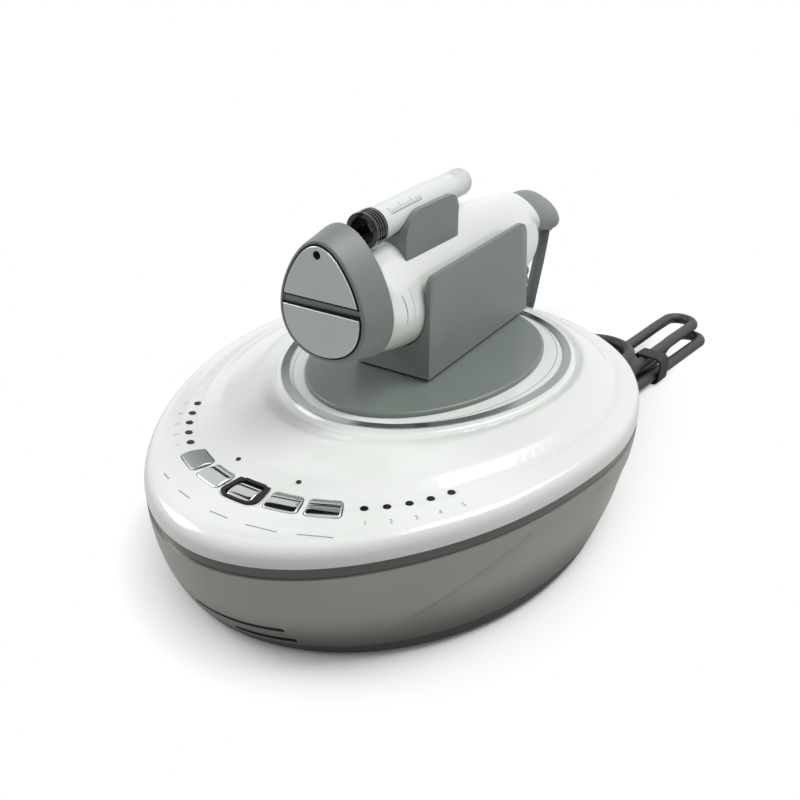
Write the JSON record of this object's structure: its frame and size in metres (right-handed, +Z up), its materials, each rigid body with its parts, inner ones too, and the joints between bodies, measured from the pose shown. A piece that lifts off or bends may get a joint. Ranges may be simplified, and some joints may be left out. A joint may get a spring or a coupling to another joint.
{
  "type": "electroporation beauty device",
  "caption": "Egg-shaped table unit with touch-height keys and a cradle that carries a flat-faced skin-care handpiece with a side-loaded syringe.",
  "frame": {"origin": "on the table, under the middle of the box round the base and handpiece, cords left out", "axes": "+X to the right seen from the keys, +Y from the keys towards the handpiece's tail, +Z up"},
  "size_m": [0.2011, 0.3933, 0.1443],
  "materials": {
    "cover": "glossy off-white moulding",
    "housing": "satin mid-grey moulding",
    "band": "satin dark grey moulding",
    "pan": "textured dark grey moulding",
    "rubber": "matt black rubber",
    "bright_trim": "bright plated ring",
    "grey_soft": "soft-touch grey-green moulding",
    "cushion": "soft grey silicone",
    "key": "bright plated key caps",
    "black_gloss": "gloss black bezel",
    "light": "clear light window",
    "board": "green circuit board with parts",
    "steel": "zinc-plated steel",
    "transformer": "varnished steel core and winding",
    "electrode": "satin stainless plate",
    "syringe_white": "white moulded barrel",
    "syringe_dark": "dark grey moulded collar",
    "frosted": "frosted translucent end cap",
    "cord": "dark flexible sheath",
    "lead": "grey flexible sheath",
    "tie": "black band",
    "plug": "dark moulded plug",
    "brass": "plated brass blades"
  },
  "bodies": {
    "base": {"lower_housing": "housing", "bottom_pan": "pan", "rubber_feet": "rubber", "accent_band": "band", "top_cover": "cover", "trim_ring": "bright_trim", "rest_pad": "grey_soft", "cradle_foot": "band", "cradle": "grey_soft", "cradle_cushions": "cushion", "power_bezel": "black_gloss", "left_level_lights": "light", "right_level_lights": "light", "status_lights": "light", "control_board": "board", "key_switches": "black_gloss", "board_screws": "steel", "main_board": "board", "main_board_screws": "steel", "mains_transformer": "transformer", "mains_gland": "cord", "lead_gland": "lead", "mains_cord": "cord", "mains_hank": "cord", "mains_tail": "cord", "mains_tie": "tie", "mains_plug": "plug", "plug_blades": "brass", "handpiece_lead": "lead", "lead_hank": "lead", "lead_tie": "tie", "lead_return": "lead"},
    "key_outer_left": {"key_outer_left": "key"},
    "key_inner_left": {"key_inner_left": "key"},
    "power_key": {"power_key": "key"},
    "key_inner_right": {"key_inner_right": "key"},
    "key_outer_right": {"key_outer_right": "key"},
    "handpiece": {"handpiece_upper_shell": "cover", "handpiece_lower_shell": "cover", "lead_boot": "lead", "tail_cap": "grey_soft", "head_cap": "grey_soft", "upper_electrode": "electrode", "lower_electrode": "electrode", "serum_inlet": "syringe_white", "syringe_holder": "grey_soft", "handpiece_board": "board"},
    "syringe": {"syringe_collar": "syringe_dark", "syringe_barrel": "syringe_white", "syringe_plunger": "syringe_dark", "syringe_shoulder": "syringe_white", "syringe_end_cap": "frosted"}
  },
  "joints": [
    {"name": "key_outer_left_press", "type": "slide", "parent": "base", "child": "key_outer_left", "axis": [0, 0, -1], "range_m": [0, 0.0008], "stiffness_N_per_m": 400, "springref_m": -0.0008},
    {"name": "key_inner_left_press", "type": "slide", "parent": "base", "child": "key_inner_left", "axis": [0, 0, -1], "range_m": [0, 0.0008], "stiffness_N_per_m": 400, "springref_m": -0.0008},
    {"name": "power_key_press", "type": "slide", "parent": "base", "child": "power_key", "axis": [0, 0, -1], "range_m": [0, 0.0008], "stiffness_N_per_m": 400, "springref_m": -0.0008},
    {"name": "key_inner_right_press", "type": "slide", "parent": "base", "child": "key_inner_right", "axis": [0, 0, -1], "range_m": [0, 0.0008], "stiffness_N_per_m": 400, "springref_m": -0.0008},
    {"name": "key_outer_right_press", "type": "slide", "parent": "base", "child": "key_outer_right", "axis": [0, 0, -1], "range_m": [0, 0.0008], "stiffness_N_per_m": 400, "springref_m": -0.0008},
    {"name": "handpiece_lift", "type": "slide", "parent": "base", "child": "handpiece", "axis": [0, 0, 1], "range_m": [0, 0.05], "deforming": ["handpiece_lead"]},
    {"name": "syringe_slide", "type": "slide", "parent": "handpiece", "child": "syringe", "axis": [0, 0.9991, 0.0419], "range_m": [0, 0.009]}
  ]
}
